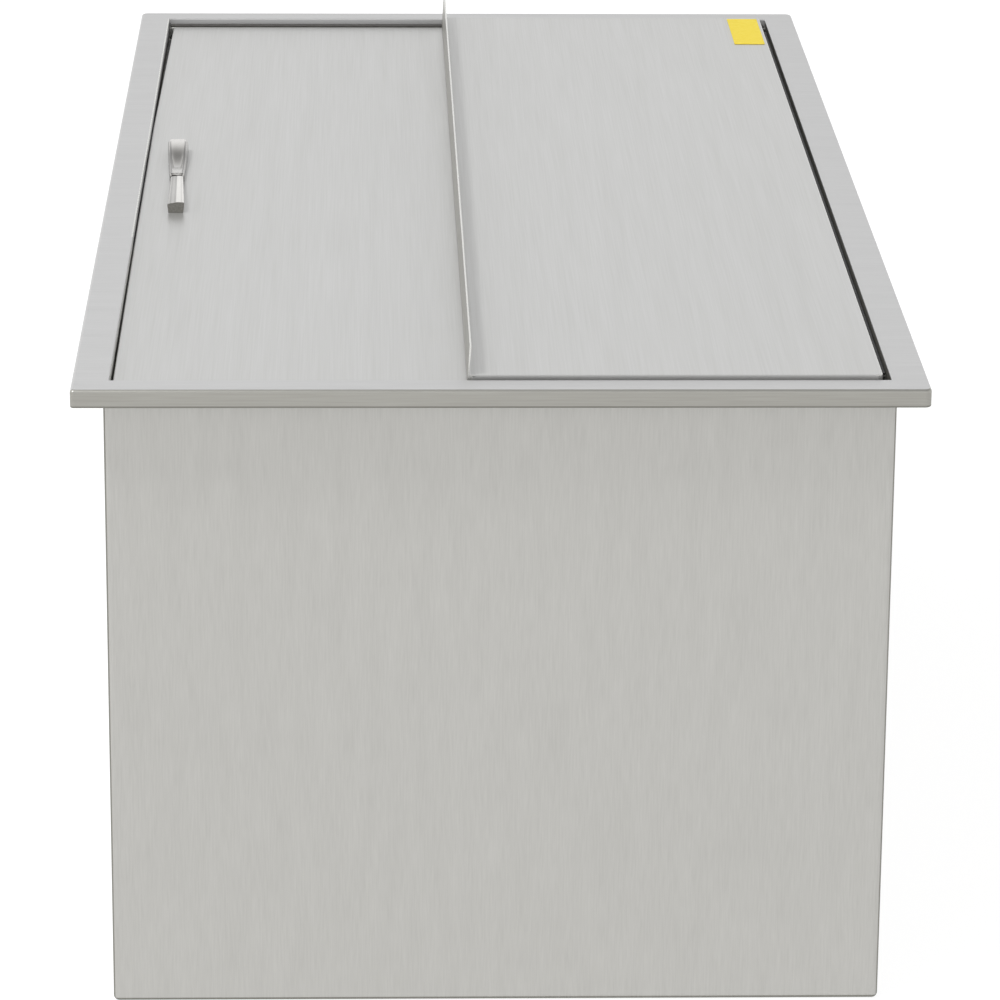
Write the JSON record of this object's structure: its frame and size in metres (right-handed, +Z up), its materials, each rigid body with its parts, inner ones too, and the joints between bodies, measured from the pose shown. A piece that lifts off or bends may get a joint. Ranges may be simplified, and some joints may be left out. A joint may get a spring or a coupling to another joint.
{
  "type": "ice chest",
  "caption": "Drop-in stainless ice chest: insulated rectangular tub with a turned-down rim, a two-level sliding cover, a low pull handle and a drain in the floor.",
  "frame": {"origin": "middle of the flat base that the chest stands on", "axes": "+Z up, +Y along the chest's long side away from the front end, +X to the right half of the cover"},
  "size_m": [0.4572, 0.9144, 0.3773],
  "materials": {
    "brushed_steel": "brushed, number 4",
    "mill_steel": "dull mill finish",
    "handle_metal": "satin plated",
    "foam": "cut foam board",
    "glide_plastic": "matt",
    "gasket_rubber": "matt",
    "label_film": "satin film, blank"
  },
  "bodies": {
    "chest": {"jacket_front_panel": "brushed_steel", "jacket_rear_panel": "brushed_steel", "jacket_left_panel": "brushed_steel", "jacket_right_panel": "brushed_steel", "jacket_bottom_panel": "mill_steel", "foam_front": "foam", "foam_rear": "foam", "foam_left": "foam", "foam_right": "foam", "foam_bottom": "foam", "tub": "brushed_steel", "rim_frame": "brushed_steel", "front_track": "brushed_steel", "rear_track": "brushed_steel", "front_upper_glide": "glide_plastic", "front_lower_glide": "glide_plastic", "rear_upper_glide": "glide_plastic", "rear_lower_glide": "glide_plastic", "left_ledge": "brushed_steel", "right_ledge": "brushed_steel", "left_glide": "glide_plastic", "right_glide": "glide_plastic", "drain_flange": "mill_steel", "drain_tail": "mill_steel", "drain_gasket": "gasket_rubber", "drain_nut": "mill_steel", "drain_well": "mill_steel"},
    "left_cover": {"left_lid": "brushed_steel", "left_lid_stiffener": "mill_steel", "handle": "handle_metal", "handle_screw_front": "mill_steel", "handle_screw_rear": "mill_steel"},
    "right_cover": {"right_lid": "brushed_steel", "right_lid_stiffener": "mill_steel", "label": "label_film"},
    "strainer": {"drain_strainer": "mill_steel"}
  },
  "joints": [
    {"name": "left_cover_slide", "type": "slide", "parent": "chest", "child": "left_cover", "axis": [1, 0, 0], "range_m": [0, 0.163]},
    {"name": "right_cover_lift", "type": "slide", "parent": "chest", "child": "right_cover", "axis": [0, 0, 1], "range_m": [0, 0.12]},
    {"name": "strainer_lift", "type": "slide", "parent": "chest", "child": "strainer", "axis": [0, 0, 1], "range_m": [0, 0.25]}
  ]
}
